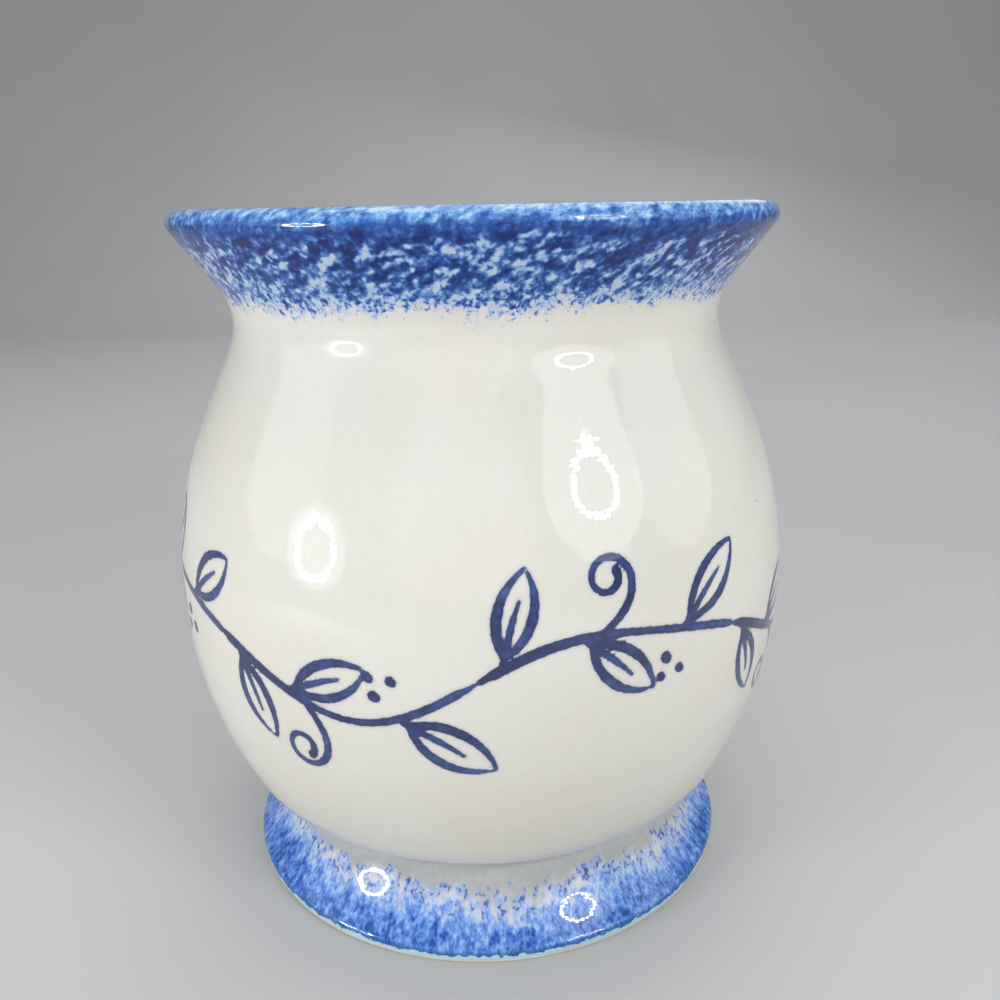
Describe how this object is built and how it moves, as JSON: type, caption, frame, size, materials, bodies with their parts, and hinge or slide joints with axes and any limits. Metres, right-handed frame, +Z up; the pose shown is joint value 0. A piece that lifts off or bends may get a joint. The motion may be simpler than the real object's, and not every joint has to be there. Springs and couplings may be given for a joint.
{
  "type": "utensil crock",
  "caption": "Round-bellied stoneware crock with a flared rim and a flared foot, open at the top, for standing kitchen utensils in.",
  "frame": {"origin": "centre of the flat face that the foot rests on", "axes": "+Z up along the crock's axis of turning, +X to the right and -Y towards the viewer of the picture"},
  "size_m": [0.1524, 0.1524, 0.165],
  "materials": {
    "stoneware": "bare fired stoneware, matt",
    "outer_glaze": "glossy clear glaze over cream clay with sponged cobalt blue at rim and foot",
    "liner_glaze": "glossy cream liner glaze"
  },
  "bodies": {
    "root": {"crock_body": "stoneware", "foot_ring": "stoneware", "outer_glaze": "outer_glaze", "liner_glaze": "liner_glaze"}
  },
  "joints": []
}
